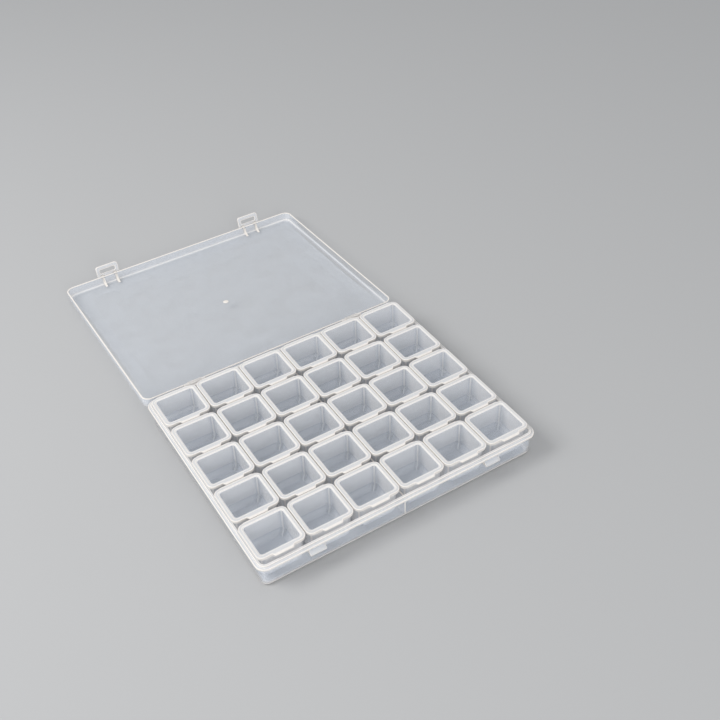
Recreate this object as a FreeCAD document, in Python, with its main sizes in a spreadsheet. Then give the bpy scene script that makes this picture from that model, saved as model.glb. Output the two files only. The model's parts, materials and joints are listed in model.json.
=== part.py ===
"""Compartment organizer: a shallow hinged case that holds thirty lift-out boxes.

The tray stands on its flat floor with its centre at the origin, +X runs along the six columns,
+Y towards the hinge and +Z up. The case lid is modelled shut about its hinge line and placed
laid back, with its far edge on the table. Each small box has a flip lid of its own.
"""
import FreeCAD, Part
import os
import Sketcher

COLUMNS = 6
ROWS = 5
SIDES = (-1, 1)

# Driving sizes: alias, value in millimetres or degrees, meaning
SIZES = (
    ("border_x", 2.4, "tray rim outside the outer columns"),
    ("border_y", 3.5, "tray rim outside the outer rows"),
    ("rim_corner", 7.0, "corner radius of the tray's flange"),
    ("tray_floor", 1.2, "thickness of the tray's floor"),
    ("tray_wall", 1.1, "thickness of the tray's walls"),
    ("foot_bevel", 1.6, "bevel between the tray's walls and floor"),
    ("flange_top", 18.2, "height of the flange that the lid shuts on"),
    ("flange_thick", 1.4, "thickness of that flange"),
    ("flange_reach", 2.5, "how far the flange stands out from the wall"),
    ("lip_rise", 1.2, "height of the lip inside the shut lid"),
    ("lip_thick", 1.7, "thickness of that lip"),
    ("partition_thick", 1.2, "wall between the middle columns"),
    ("partition_drop", 1.2, "top of that wall below the flange's top"),
    ("latch_in", 39.0, "latches in from the tray's sides"),
    ("catch_reach", 2.1, "how far a catch stands out from the flange"),
    ("catch_set_back", 0.1, "catch root behind the flange's edge"),
    ("latch_play", 0.15, "shut loop's far bar below the catch's ledge"),
    ("catch_neck", 0.05, "top of the catch's ramp below the shut loop's near bar"),
    ("catch_nose", 0.85, "upright part at the catch's tip"),
    ("hinge_in", 39.0, "hinges in from the tray's sides"),
    ("hinge_out", 0.9, "hinge line outside the flange's edge"),
    ("pin_r", 1.0, "radius of the hinge pin"),
    ("pin_play", 0.06, "running clearance round hinge pins"),
    ("knuckle_r", 1.9, "outer radius of the lid's knuckle"),
    ("knuckle_wide", 10.0, "width of the lid's knuckle"),
    ("knuckle_mouth", 1.5, "snap-in mouth of the knuckle"),
    ("knuckle_web", 3.4, "height of the web behind the knuckle"),
    ("lug_wide", 3.0, "width of a lug that carries the pin"),
    ("lug_root", 1.0, "depth of the lug inside the flange"),
    ("running_gap", 0.3, "side clearance of moving pieces"),
    ("knuckle_gap", 0.4, "clearance round the knuckle in its notch"),
    ("lid_high", 8.2, "height of the case lid"),
    ("lid_wall", 1.1, "thickness of the case lid's walls"),
    ("lid_top", 1.2, "thickness of the case lid's top"),
    ("lid_inset", 0.4, "lid edge inside the flange's edge"),
    ("lid_bevel", 2.2, "bevel round the top of the case lid"),
    ("table_gap", 0.1, "clearance of the laid-back lid above the table"),
    ("rib_wide", 1.0, "width of a rib behind a latch"),
    ("rib_spread", 5.6, "rib and ear either side of a latch's middle"),
    ("rib_edge", 0.7, "depth of a rib at the lid's edge"),
    ("rib_foot", 2.6, "depth of a rib at the lid's top"),
    ("ear_r", 1.8, "reach of a latch ear round its pivot"),
    ("ear_wide", 2.0, "width of a latch ear"),
    ("ear_mouth", 1.3, "snap-in mouth of an ear"),
    ("latch_out", 1.3, "latch pivot outside the lid's wall"),
    ("latch_up", 1.8, "latch pivot inside the lid's edge"),
    ("loop_pin_r", 0.9, "radius of the loop's pivot bar"),
    ("loop_wide", 19.0, "width of a latch loop"),
    ("loop_long", 10.0, "length of a latch loop from its pivot"),
    ("loop_thick", 1.4, "thickness of a latch loop"),
    ("loop_corner", 2.0, "corner radius of a latch loop"),
    ("slot_wide", 13.0, "width of the loop's slot"),
    ("slot_near", 3.5, "near edge of the slot from the pivot"),
    ("slot_far", 6.7, "far edge of the slot from the pivot"),
    ("slot_bevel", 0.7, "bevel in the corners of the slot"),
    ("latch_tilt", 77.0, "loop's angle to the lid's plane at rest, degrees"),
    ("box_wide", 33.6, "width of a box with its lid"),
    ("box_deep", 31.0, "depth of a box without its lid's tab"),
    ("box_gap_x", 0.6, "gap between neighbouring columns of lids"),
    ("box_gap_y", 0.2, "clearance behind each row"),
    ("body_inset_x", 1.7, "box's side walls inside its width, at the floor"),
    ("body_inset_y", 1.5, "box's end walls inside its depth, at the floor"),
    ("box_draft", 1.2, "lean of a box's walls, degrees"),
    ("box_bevel", 2.2, "bevel at the corners of a box"),
    ("box_foot_bevel", 1.0, "bevel between a box's walls and floor"),
    ("box_wall", 0.9, "thickness of a box's walls"),
    ("box_floor", 1.0, "thickness of a box's floor"),
    ("cavity_chamfer", 1.2, "bevel in the corners inside a box"),
    ("rim_gap", 0.6, "box's rim above the tray's lip"),
    ("rim_thick", 1.2, "thickness of a box's rim"),
    ("rim_chamfer", 2.4, "bevel at the corners of a box's rim"),
    ("rim_inset", 0.2, "rim of a box inside its lid's edge"),
    ("seat_gap", 0.05, "lid above the box's rim"),
    ("flip_thick", 1.2, "thickness of a flip lid"),
    ("flip_bevel", 2.5, "bevel at the corners of a flip lid"),
    ("window_band", 2.3, "band round a flip lid's clear window"),
    ("window_drop", 0.4, "window below that band"),
    ("window_bevel", 1.2, "bevel in the corners of the window"),
    ("bead_long", 24.0, "length of the hinge bead at the lid's back edge"),
    ("tab_root", 15.0, "width of the thumb tab at the lid"),
    ("tab_tip", 12.6, "width of the thumb tab at its tip"),
    ("tab_reach", 2.1, "how far the thumb tab stands out"),
    ("tab_gap", 0.3, "clearance in front of the thumb tab"),
    ("overrun", 0.5, "how far a cut runs past a face"),
)


def words(text):
    """A formula with each size's plain alias written as a cell of the sheet."""
    names = {alias for alias, _, _ in SIZES}
    out, word = [], ""
    for letter in text + " ":
        if letter.isalnum() or letter == "_":
            word += letter
            continue
        out.append("sizes." + word if word in names else word)
        out.append(letter)
        word = ""
    return "".join(out).strip()


# Sizes worked out from the driving ones
PITCH_X = "(box_wide + box_gap_x)"
PITCH_Y = "(box_gap_y + box_deep + tab_reach + tab_gap)"
TRAY_X = f"({COLUMNS} * {PITCH_X} + 2 * border_x)"
TRAY_Y = f"({ROWS} * {PITCH_Y} + 2 * border_y)"
FLANGE_LOW = "(flange_top - flange_thick)"
LIP_TOP = "(flange_top + lip_rise)"
INSET = "(flange_reach + tray_wall)"
LATCH_X = f"({TRAY_X} / 2 - latch_in)"
HINGE_X = f"({TRAY_X} / 2 - hinge_in)"
HINGE_Y = f"({TRAY_Y} / 2 + hinge_out)"
LID_X = f"({TRAY_X} - 2 * lid_inset)"
LID_Y = f"({TRAY_Y} - 2 * lid_inset)"
LID_BACK = "(hinge_out + lid_inset)"
LID_FRONT = f"({LID_BACK} + {LID_Y})"
LATCH_Y = f"({LID_FRONT} + latch_out)"
LAY_LONG = f"({LID_FRONT} - lid_bevel)"
LAY_REACH = f"sqrt({LAY_LONG} ^ 2 + lid_high ^ 2)"
LAY_ANGLE = f"(asin((flange_top - table_gap) / {LAY_REACH}) - atan(lid_high / {LAY_LONG}))"
LOOP_HIGH = "(flange_top + latch_up)"
CATCH_WIDE = "(slot_wide - 2 * slot_bevel - running_gap)"
BODY_X = "(box_wide - 2 * body_inset_x)"
BODY_Y = "(box_deep - 2 * body_inset_y)"
BOX_HIGH = f"({LIP_TOP} + rim_gap + rim_thick - tray_floor)"
BOX_BACK = f"({PITCH_Y} / 2 - box_gap_y)"
BOX_MIDDLE = f"({BOX_BACK} - box_deep / 2)"
BEAD_R = "(flip_thick / 2 - seat_gap)"
FLIP_AXIS_Y = f"({BOX_BACK} - {BEAD_R})"
FLIP_FRONT = f"({BOX_BACK} - box_deep)"
FLIP_LOW = f"({BOX_HIGH} + seat_gap)"

doc = FreeCAD.newDocument("organizer")
sheet = doc.addObject("Spreadsheet::Sheet", "sizes")


def fill_sheet():
    """One row per driving size: its name, its value under an alias and its meaning."""
    for row, (alias, value, meaning) in enumerate(SIZES, start=1):
        sheet.set(f"A{row}", alias)
        sheet.set(f"B{row}", str(value))
        sheet.set(f"C{row}", meaning)
        sheet.setAlias(f"B{row}", alias)
    doc.recompute()


def bind(thing, **formulas):
    """Tie properties to the sheet; two underscores in a name stand for a dot."""
    for name, formula in formulas.items():
        thing.setExpression(name.replace("__", "."), words(formula))


def value(formula):
    """What a formula gives with the sheet's present sizes."""
    return float(sheet.evalExpression(words(formula)))


def new_body(name):
    body = doc.addObject("PartDesign::Body", name)
    body.Label = name
    return body


def new_sketch(body, name, plane, **offset):
    """A sketch on one of its body's own planes, moved by formulas for x, y and z."""
    sketch = body.newObject("Sketcher::SketchObject", name)
    base = next(p for p in body.Origin.OriginFeatures if p.Role == plane)
    sketch.AttachmentSupport = [(base, "")]
    sketch.MapMode = "FlatFace"
    for axis, formula in offset.items():
        bind(sketch, **{f"AttachmentOffset__Base__{axis}": formula})
    return sketch


def drive(sketch, name, formula, kind, *where):
    """A named dimension that follows a formula."""
    index = sketch.addConstraint(Sketcher.Constraint(kind, *where, value(formula)))
    sketch.renameConstraint(index, name)
    bind(sketch, **{f"Constraints__{name}": formula})


def rounded_rectangle(sketch, width, depth, radius):
    """Four sides and four corner arcs about the sketch's middle."""
    x, y, r = value(width) / 2, value(depth) / 2, value(radius)
    up = FreeCAD.Vector(0, 0, 1)
    right_angle = 1.5707963267948966
    corners = ((x - r, r - y), (x - r, y - r), (r - x, y - r), (r - x, r - y))
    ends = (((r - x, -y), (x - r, -y)), ((x, r - y), (x, y - r)),
            ((x - r, y), (r - x, y)), ((-x, y - r), (-x, r - y)))
    for turn, (middle, (start, end)) in enumerate(zip(corners, ends)):
        sketch.addGeometry(Part.LineSegment(FreeCAD.Vector(*start, 0), FreeCAD.Vector(*end, 0)))
        circle = Part.Circle(FreeCAD.Vector(*middle, 0), up, r)
        sketch.addGeometry(Part.ArcOfCircle(circle, (turn - 1) * right_angle, turn * right_angle))
    for side in range(4):
        line, arc, following = 2 * side, 2 * side + 1, (2 * side + 2) % 8
        sketch.addConstraint(Sketcher.Constraint("Tangent", line, 2, arc, 1))
        sketch.addConstraint(Sketcher.Constraint("Tangent", arc, 2, following, 1))
        sketch.addConstraint(Sketcher.Constraint("Vertical" if side % 2 else "Horizontal", line))
        if side:
            sketch.addConstraint(Sketcher.Constraint("Equal", 1, arc))
    drive(sketch, "radius", radius, "Radius", 1)
    drive(sketch, "front", f"{depth} / 2", "DistanceY", 0, 1, -1, 1)
    drive(sketch, "right", f"{width} / 2", "DistanceX", -1, 1, 2, 1)
    drive(sketch, "back", f"{depth} / 2", "DistanceY", -1, 1, 4, 1)
    drive(sketch, "left", f"{width} / 2", "DistanceX", 6, 1, -1, 1)


def polygon(sketch, points):
    """Straight sides through corner points given as pairs of formulas."""
    at = [FreeCAD.Vector(value(x), value(y), 0) for x, y in points]
    for n, start in enumerate(at):
        sketch.addGeometry(Part.LineSegment(start, at[(n + 1) % len(at)]))
    for n in range(len(at)):
        sketch.addConstraint(Sketcher.Constraint("Coincident", n, 2, (n + 1) % len(at), 1))
    for n, (x, y) in enumerate(points):
        drive(sketch, f"x{n}", x, "DistanceX", -1, 1, n, 1)
        drive(sketch, f"y{n}", y, "DistanceY", -1, 1, n, 1)


def bevelled_rectangle(sketch, width, depth, bevel):
    """A rectangle about the sketch's middle with its corners cut off."""
    x, y = f"{width} / 2", f"{depth} / 2"
    polygon(sketch, [(f"{bevel} - {x}", f"-{y}"), (f"{x} - {bevel}", f"-{y}"),
                     (x, f"{bevel} - {y}"), (x, f"{y} - {bevel}"),
                     (f"{x} - {bevel}", y), (f"{bevel} - {x}", y),
                     (f"-{x}", f"{y} - {bevel}"), (f"-{x}", f"{bevel} - {y}")])


def rectangle(sketch, low, high):
    """A plain rectangle between two corner points given as formulas."""
    polygon(sketch, [low, (high[0], low[1]), high, (low[0], high[1])])


def disc(sketch, radius):
    """A circle about the sketch's middle."""
    sketch.addGeometry(Part.Circle(FreeCAD.Vector(0, 0, 0), FreeCAD.Vector(0, 0, 1), value(radius)))
    sketch.addConstraint(Sketcher.Constraint("Coincident", 0, 3, -1, 1))
    drive(sketch, "radius", radius, "Radius", 0)


def hinge_bead(sketch, radius):
    """A quarter round below and a bevel above, behind the line through the sketch's middle."""
    r, up = value(radius), FreeCAD.Vector(0, 0, 1)
    right_angle = 1.5707963267948966
    sketch.addGeometry(Part.ArcOfCircle(Part.Circle(FreeCAD.Vector(0, 0, 0), up, r), -right_angle, 0))
    sketch.addGeometry(Part.LineSegment(FreeCAD.Vector(r, 0, 0), FreeCAD.Vector(0, r, 0)))
    sketch.addGeometry(Part.LineSegment(FreeCAD.Vector(0, r, 0), FreeCAD.Vector(0, -r, 0)))
    sketch.addConstraint(Sketcher.Constraint("Coincident", 0, 3, -1, 1))
    sketch.addConstraint(Sketcher.Constraint("Coincident", 0, 2, 1, 1))
    sketch.addConstraint(Sketcher.Constraint("Coincident", 1, 2, 2, 1))
    sketch.addConstraint(Sketcher.Constraint("Coincident", 2, 2, 0, 1))
    sketch.addConstraint(Sketcher.Constraint("PointOnObject", 0, 1, -2))
    sketch.addConstraint(Sketcher.Constraint("PointOnObject", 0, 2, -1))
    sketch.addConstraint(Sketcher.Constraint("PointOnObject", 2, 1, -2))
    drive(sketch, "radius", radius, "Radius", 0)
    drive(sketch, "top", radius, "DistanceY", -1, 1, 2, 1)


def pad(body, sketch, length):
    """Material from a sketch along its normal."""
    feature = body.newObject("PartDesign::Pad", sketch.Name + "_pad")
    feature.Profile = sketch
    bind(feature, Length=length)
    return feature


def pocket(body, sketch, length, upwards=False):
    """A cut from a sketch against its normal, or along it."""
    feature = body.newObject("PartDesign::Pocket", sketch.Name + "_cut")
    feature.Profile = sketch
    feature.Reversed = upwards
    bind(feature, Length=length)
    return feature


def bevel_level_edges(body, feature, level, size):
    """Bevel every edge of a feature that lies at one height."""
    doc.recompute()
    height = value(level)
    names = [f"Edge{n}" for n, edge in enumerate(feature.Shape.Edges, start=1)
             if all(abs(v.Z - height) < value("overrun") for v in edge.Vertexes)]
    bevel = body.newObject("PartDesign::Chamfer", feature.Name + "_bevel")
    bevel.Base = (feature, names)
    bind(bevel, Size=size)


def lean_walls(body, feature, angle, inside):
    """Lean the upright walls of a feature outwards from their lines in the body's floor plane."""
    doc.recompute()
    middle = feature.Shape.BoundBox.Center
    names = []
    for n, face in enumerate(feature.Shape.Faces, start=1):
        normal = face.normalAt(0, 0)
        faces_in = normal.dot(face.CenterOfMass - middle) < 0
        if abs(normal.z) < 0.5 and faces_in == inside:
            names.append(f"Face{n}")
    lean = body.newObject("PartDesign::Draft", feature.Name + "_lean")
    lean.Base = (feature, names)
    lean.NeutralPlane = (next(p for p in body.Origin.OriginFeatures if p.Role == "XY_Plane"), [""])
    lean.Reversed = not inside
    bind(lean, Angle=angle)
    return lean


def make_tray():
    """Tub with a partition, a flange and lip round its edge, latch catches and hinge pins."""
    body = new_body("tray")
    outer_x = f"({TRAY_X} - 2 * flange_reach)"
    outer_y = f"({TRAY_Y} - 2 * flange_reach)"
    inner_x = f"({TRAY_X} - 2 * {INSET})"
    inner_y = f"({TRAY_Y} - 2 * {INSET})"

    floor = new_sketch(body, "tray_foot", "XY_Plane")
    rounded_rectangle(floor, outer_x, outer_y, "(rim_corner - flange_reach)")
    tub = pad(body, floor, FLANGE_LOW)
    bevel_level_edges(body, tub, "0", "foot_bevel")

    flange = new_sketch(body, "tray_flange", "XY_Plane", z=FLANGE_LOW)
    rounded_rectangle(flange, TRAY_X, TRAY_Y, "rim_corner")
    pad(body, flange, "flange_thick")

    lip = new_sketch(body, "tray_lip", "XY_Plane", z="flange_top")
    rounded_rectangle(lip, f"({inner_x} + 2 * lip_thick)", f"({inner_y} + 2 * lip_thick)",
                      f"(rim_corner - {INSET} + lip_thick)")
    pad(body, lip, "lip_rise")

    inside = new_sketch(body, "tray_inside", "XY_Plane", z=LIP_TOP)
    rounded_rectangle(inside, inner_x, inner_y, f"(rim_corner - {INSET})")
    pocket(body, inside, f"{LIP_TOP} - tray_floor")

    partition = new_sketch(body, "tray_partition", "XY_Plane", z="tray_floor / 2")
    reach = f"({inner_y} / 2 + tray_wall / 2)"
    rectangle(partition, ("-partition_thick / 2", f"-{reach}"), ("partition_thick / 2", reach))
    pad(body, partition, "flange_top - partition_drop - tray_floor / 2")

    for side in SIDES:
        make_catch(body, side)
        make_hinge_pin(body, side)
    return body


def make_catch(body, side):
    """Wedge under the front flange; the shut loop's far bar lies under its ledge."""
    name = "catch_left" if side < 0 else "catch_right"
    root = f"-({TRAY_Y} / 2 - flange_reach - tray_wall / 2)"
    face = f"-({TRAY_Y} / 2 - catch_set_back)"
    tip = f"-({TRAY_Y} / 2 + catch_reach)"
    neck = f"({LOOP_HIGH} - slot_near - catch_neck)"
    ledge = f"({LOOP_HIGH} - slot_far + latch_play)"
    sketch = new_sketch(body, name, "YZ_Plane", z=f"{side} * {LATCH_X} - {CATCH_WIDE} / 2")
    polygon(sketch, [(root, f"{FLANGE_LOW} + flange_thick / 2"),
                     (face, f"{FLANGE_LOW} + flange_thick / 2"),
                     (face, neck), (tip, f"{ledge} + catch_nose"), (tip, ledge), (root, ledge)])
    pad(body, sketch, CATCH_WIDE)


def make_hinge_pin(body, side):
    """Round pin behind the flange between two lugs, with a notch for the lid's knuckle."""
    name = "left" if side < 0 else "right"
    half = "(knuckle_wide / 2 + running_gap)"
    edge = f"({TRAY_Y} / 2)"
    notch = new_sketch(body, f"knuckle_notch_{name}", "XY_Plane", z="flange_top")
    depth = "(knuckle_r + knuckle_gap - hinge_out)"
    rectangle(notch, (f"{side} * {HINGE_X} - {half}", f"{edge} - {depth}"),
              (f"{side} * {HINGE_X} + {half}", f"{edge} + overrun"))
    pocket(body, notch, "flange_thick + overrun")
    for end in SIDES:
        lug = new_sketch(body, f"hinge_lug_{name}_{'outer' if end == side else 'inner'}", "YZ_Plane",
                         z=f"{side} * {HINGE_X} + {end} * ({half} + lug_wide / 2) - lug_wide / 2")
        rectangle(lug, (f"{edge} - lug_root", "flange_top - pin_r"), (HINGE_Y, "flange_top"))
        pad(body, lug, "lug_wide")
    pin = new_sketch(body, f"hinge_pin_{name}", "YZ_Plane", x=HINGE_Y, y="flange_top",
                     z=f"{side} * {HINGE_X} - {half} - lug_wide")
    disc(pin, "pin_r")
    pad(body, pin, f"2 * ({half} + lug_wide)")


def make_case_lid():
    """Shallow lid with snap-on knuckles behind and latch ears and ribs in front.

    Modelled shut about the hinge line, then turned over and laid on the table.
    """
    body = new_body("case_lid")
    middle = f"-({LID_BACK} + {LID_Y} / 2)"
    inner_x, inner_y = f"({LID_X} - 2 * lid_wall)", f"({LID_Y} - 2 * lid_wall)"
    corner = "(rim_corner - lid_inset)"

    outside = new_sketch(body, "lid_outside", "XY_Plane", y=middle)
    rounded_rectangle(outside, LID_X, LID_Y, corner)
    shell = pad(body, outside, "lid_high")
    bevel_level_edges(body, shell, "lid_high", "lid_bevel")

    inside = new_sketch(body, "lid_inside", "XY_Plane", y=middle)
    rounded_rectangle(inside, inner_x, inner_y, f"({corner} - lid_wall)")
    pocket(body, inside, "lid_high - lid_top", upwards=True)

    for side in SIDES:
        make_knuckle(body, side)
        for end in SIDES:
            make_latch_ear(body, side, end)
    bind(body, Placement__Base__y=HINGE_Y, Placement__Base__z="flange_top")
    body.Placement.Rotation = FreeCAD.Rotation(FreeCAD.Vector(-1, 0, 0), 180 + value(LAY_ANGLE))
    bind(body, Placement__Rotation__Angle=f"180 deg + {LAY_ANGLE}")
    return body


def make_knuckle(body, side):
    """Open ring that snaps on the tray's pin, with a web up the lid's back wall."""
    name = "left" if side < 0 else "right"
    start = f"{side} * {HINGE_X} - knuckle_wide / 2"
    web = new_sketch(body, f"knuckle_web_{name}", "YZ_Plane", z=start)
    rectangle(web, (f"-{LID_BACK} - lid_wall / 2", "0"), ("-pin_r", "knuckle_web"))
    pad(body, web, "knuckle_wide")
    ring = new_sketch(body, f"knuckle_{name}", "YZ_Plane", z=start)
    disc(ring, "knuckle_r")
    pad(body, ring, "knuckle_wide")
    bore = new_sketch(body, f"knuckle_bore_{name}", "YZ_Plane", z=f"{start} + knuckle_wide + overrun")
    disc(bore, "pin_r + pin_play")
    pocket(body, bore, "knuckle_wide + 2 * overrun")
    mouth = new_sketch(body, f"knuckle_mouth_{name}", "YZ_Plane", z=f"{start} + knuckle_wide + overrun")
    rectangle(mouth, ("-knuckle_mouth / 2", "-knuckle_r - overrun"), ("knuckle_mouth / 2", "0"))
    pocket(body, mouth, "knuckle_wide + 2 * overrun")


def make_latch_ear(body, side, end):
    """Open ear outside the lid's front edge and the rib that backs it inside the wall."""
    name = f"{'left' if side < 0 else 'right'}_{'a' if end < 0 else 'b'}"
    middle = f"{side} * {LATCH_X} + {end} * rib_spread"
    wall = f"-({LID_FRONT} - lid_wall / 2)"
    face = f"-({LID_FRONT} - lid_wall)"
    rib = new_sketch(body, f"rib_{name}", "YZ_Plane", z=f"{middle} - rib_wide / 2")
    start, end_height = "(lip_rise + running_gap)", "(lid_high - lid_top / 2)"
    polygon(rib, [(wall, start), (f"{face} + rib_edge", start), (f"{face} + rib_edge", "lid_high / 2"),
                  (f"{face} + rib_foot", end_height), (wall, end_height)])
    pad(body, rib, "rib_wide")
    ear = new_sketch(body, f"ear_{name}", "YZ_Plane", x=f"-{LATCH_Y}", y="latch_up",
                     z=f"{middle} - ear_wide / 2")
    root = "(latch_out + lid_wall / 2)"
    polygon(ear, [(root, "-latch_up"), (root, "ear_r"), ("-ear_r / 2", "ear_r"), ("-ear_r", "ear_r / 2"),
                  ("-ear_r", "-ear_r / 2"), ("-ear_r / 2", "-latch_up")])
    pad(body, ear, "ear_wide")
    bore = new_sketch(body, f"ear_bore_{name}", "YZ_Plane", x=f"-{LATCH_Y}", y="latch_up",
                      z=f"{middle} + ear_wide / 2 + overrun")
    disc(bore, "loop_pin_r + pin_play")
    pocket(body, bore, "ear_wide + 2 * overrun")
    mouth = new_sketch(body, f"ear_mouth_{name}", "YZ_Plane", x=f"-{LATCH_Y}", y="latch_up",
                       z=f"{middle} + ear_wide / 2 + overrun")
    rectangle(mouth, ("-ear_r - overrun", "-ear_mouth / 2"), ("0", "ear_mouth / 2"))
    pocket(body, mouth, "ear_wide + 2 * overrun")


def make_latch_loop(side):
    """Slotted loop on a round bar; it swings over the tray's catch.

    Modelled flat with its bar on the X axis, then placed at the laid-back lid's far edge.
    """
    body = new_body("latch_loop_left" if side < 0 else "latch_loop_right")
    name = body.Name
    plate = new_sketch(body, name + "_plate", "XY_Plane", y="loop_long / 2 - loop_corner / 2",
                       z="-loop_thick / 2")
    rounded_rectangle(plate, "loop_wide", "(loop_long + loop_corner)", "loop_corner")
    pad(body, plate, "loop_thick")
    trim = new_sketch(body, name + "_trim", "XY_Plane", z="loop_thick / 2 + overrun")
    rectangle(trim, ("-loop_wide / 2 - overrun", "-loop_corner - overrun"),
              ("loop_wide / 2 + overrun", "0"))
    pocket(body, trim, "loop_thick + 2 * overrun")
    slot = new_sketch(body, name + "_slot", "XY_Plane", y="(slot_near + slot_far) / 2",
                      z="loop_thick / 2 + overrun")
    bevelled_rectangle(slot, "slot_wide", "(slot_far - slot_near)", "slot_bevel")
    pocket(body, slot, "loop_thick + 2 * overrun")
    for end in SIDES:
        notch = new_sketch(body, f"{name}_notch_{'a' if end < 0 else 'b'}", "XY_Plane",
                           z="loop_thick / 2 + overrun")
        half = "(ear_wide / 2 + running_gap)"
        rectangle(notch, (f"{end} * rib_spread - {half}", "-overrun"),
                  (f"{end} * rib_spread + {half}", "ear_r + running_gap"))
        pocket(body, notch, "loop_thick + 2 * overrun")
    bar = new_sketch(body, name + "_bar", "YZ_Plane", z="-loop_wide / 2")
    disc(bar, "loop_pin_r")
    pad(body, bar, "loop_wide")

    across = f"({LATCH_Y} * cos({LAY_ANGLE}) - latch_up * sin({LAY_ANGLE}))"
    drop = f"({LATCH_Y} * sin({LAY_ANGLE}) + latch_up * cos({LAY_ANGLE}))"
    bind(body, Placement__Base__x=f"{side} * {LATCH_X}", Placement__Base__y=f"{HINGE_Y} + {across}",
         Placement__Base__z=f"flange_top - {drop}")
    body.Placement.Rotation = FreeCAD.Rotation(FreeCAD.Vector(1, 0, 0), value("latch_tilt"))
    bind(body, Placement__Rotation__Angle=f"latch_tilt * 1 deg - {LAY_ANGLE}")
    return body


def make_box_form():
    """The small box: a leaning tub with a bevelled foot and a rim, its floor at z = 0."""
    body = new_body("box_form")
    foot = new_sketch(body, "box_foot", "XY_Plane", y=BOX_MIDDLE)
    bevelled_rectangle(foot, BODY_X, BODY_Y, "box_bevel")
    tub = lean_walls(body, pad(body, foot, BOX_HIGH), "box_draft", inside=False)
    bevel_level_edges(body, tub, "0", "box_foot_bevel")
    rim = new_sketch(body, "box_rim", "XY_Plane", y=BOX_MIDDLE, z=f"{BOX_HIGH} - rim_thick")
    bevelled_rectangle(rim, "(box_wide - 2 * rim_inset)", "(box_deep - 2 * rim_inset)", "rim_chamfer")
    pad(body, rim, "rim_thick")
    cavity = new_sketch(body, "box_cavity", "XY_Plane", y=BOX_MIDDLE, z=BOX_HIGH)
    bevelled_rectangle(cavity, f"({BODY_X} - 2 * box_wall)", f"({BODY_Y} - 2 * box_wall)", "cavity_chamfer")
    lean_walls(body, pocket(body, cavity, f"{BOX_HIGH} - box_floor"), "box_draft", inside=True)
    return body


def make_flip_lid_form():
    """The small box's lid: a plate with a dropped window, a thumb tab in front and a hinge bead behind."""
    body = new_body("flip_lid_form")
    depth = f"({FLIP_AXIS_Y} - {FLIP_FRONT})"
    middle = f"({FLIP_AXIS_Y} + {FLIP_FRONT}) / 2"
    plate = new_sketch(body, "flip_plate", "XY_Plane", y=middle, z=FLIP_LOW)
    bevelled_rectangle(plate, "box_wide", depth, "flip_bevel")
    pad(body, plate, "flip_thick")
    window = new_sketch(body, "flip_window", "XY_Plane", y=middle, z=f"{FLIP_LOW} + flip_thick")
    bevelled_rectangle(window, "(box_wide - 2 * window_band)", f"({depth} - 2 * window_band)", "window_bevel")
    pocket(body, window, "window_drop")
    tab = new_sketch(body, "flip_tab", "XY_Plane", y=FLIP_FRONT, z=FLIP_LOW)
    polygon(tab, [("-tab_tip / 2", "-tab_reach"), ("tab_tip / 2", "-tab_reach"),
                  ("tab_root / 2", "0"), ("tab_root / 2", "overrun"),
                  ("-tab_root / 2", "overrun"), ("-tab_root / 2", "0")])
    pad(body, tab, "flip_thick")
    bead = new_sketch(body, "flip_bead", "YZ_Plane", x=FLIP_AXIS_Y, y=f"{FLIP_LOW} + flip_thick / 2",
                      z="-bead_long / 2")
    hinge_bead(bead, BEAD_R)
    pad(body, bead, "bead_long")
    return body


def make_copy(name, form, column, row):
    """One of the repeated pieces, moved to its cell of the tray."""
    copy = doc.addObject("Part::Compound", name)
    copy.Label = name
    copy.Links = [form]
    bind(copy, Placement__Base__x=f"({column} - {COLUMNS + 1} / 2) * {PITCH_X}",
         Placement__Base__y=f"({row} - {ROWS + 1} / 2) * {PITCH_Y}", Placement__Base__z="tray_floor")
    return copy


def make_boxes():
    """Every box and flip lid in its cell; the back row's boxes are joined by threes."""
    box_form, lid_form = make_box_form(), make_flip_lid_form()
    pieces = []
    back_row = []
    for row in range(1, ROWS + 1):
        for column in range(1, COLUMNS + 1):
            box = make_copy(f"box_r{row}_c{column}", box_form, column, row)
            pieces.append(make_copy(f"flip_lid_r{row}_c{column}", lid_form, column, row))
            if row < ROWS:
                pieces.append(box)
            else:
                back_row.append(box)
    half = COLUMNS // 2
    for name, members in (("boxes_r5_left", back_row[:half]), ("boxes_r5_right", back_row[half:])):
        group = doc.addObject("Part::Compound", name)
        group.Label = name
        group.Links = members
        pieces.append(group)
    return pieces


def check_document():
    """Stop on any object that failed, and on any shape that is empty or broken."""
    for thing in doc.Objects:
        if {"Invalid", "Error"} & set(thing.State):
            raise RuntimeError(f"{thing.Name} failed: {thing.State}")
        shape = getattr(thing, "Shape", None)
        if shape is not None and not thing.isDerivedFrom("App::OriginFeature"):
            if shape.isNull() or not shape.isValid():
                raise RuntimeError(f"{thing.Name} has no valid shape")


def write_parts(pieces):
    os.makedirs("parts", exist_ok=True)
    for piece in pieces:
        piece.Shape.exportStep(f"parts/{piece.Label}.step")


fill_sheet()
parts = [make_tray(), make_case_lid()]
parts += [make_latch_loop(side) for side in SIDES]
parts += make_boxes()
doc.recompute()
check_document()
write_parts(parts)
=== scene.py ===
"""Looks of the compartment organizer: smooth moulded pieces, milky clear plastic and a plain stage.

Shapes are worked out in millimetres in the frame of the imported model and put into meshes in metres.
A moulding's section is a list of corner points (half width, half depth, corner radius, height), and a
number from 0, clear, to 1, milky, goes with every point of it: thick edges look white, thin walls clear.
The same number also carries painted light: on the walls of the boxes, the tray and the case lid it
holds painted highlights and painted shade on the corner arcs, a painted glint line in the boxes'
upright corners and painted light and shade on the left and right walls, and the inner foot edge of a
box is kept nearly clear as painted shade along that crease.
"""
import json
import math

import bpy
import numpy as np
from mathutils import Matrix, Vector


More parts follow.
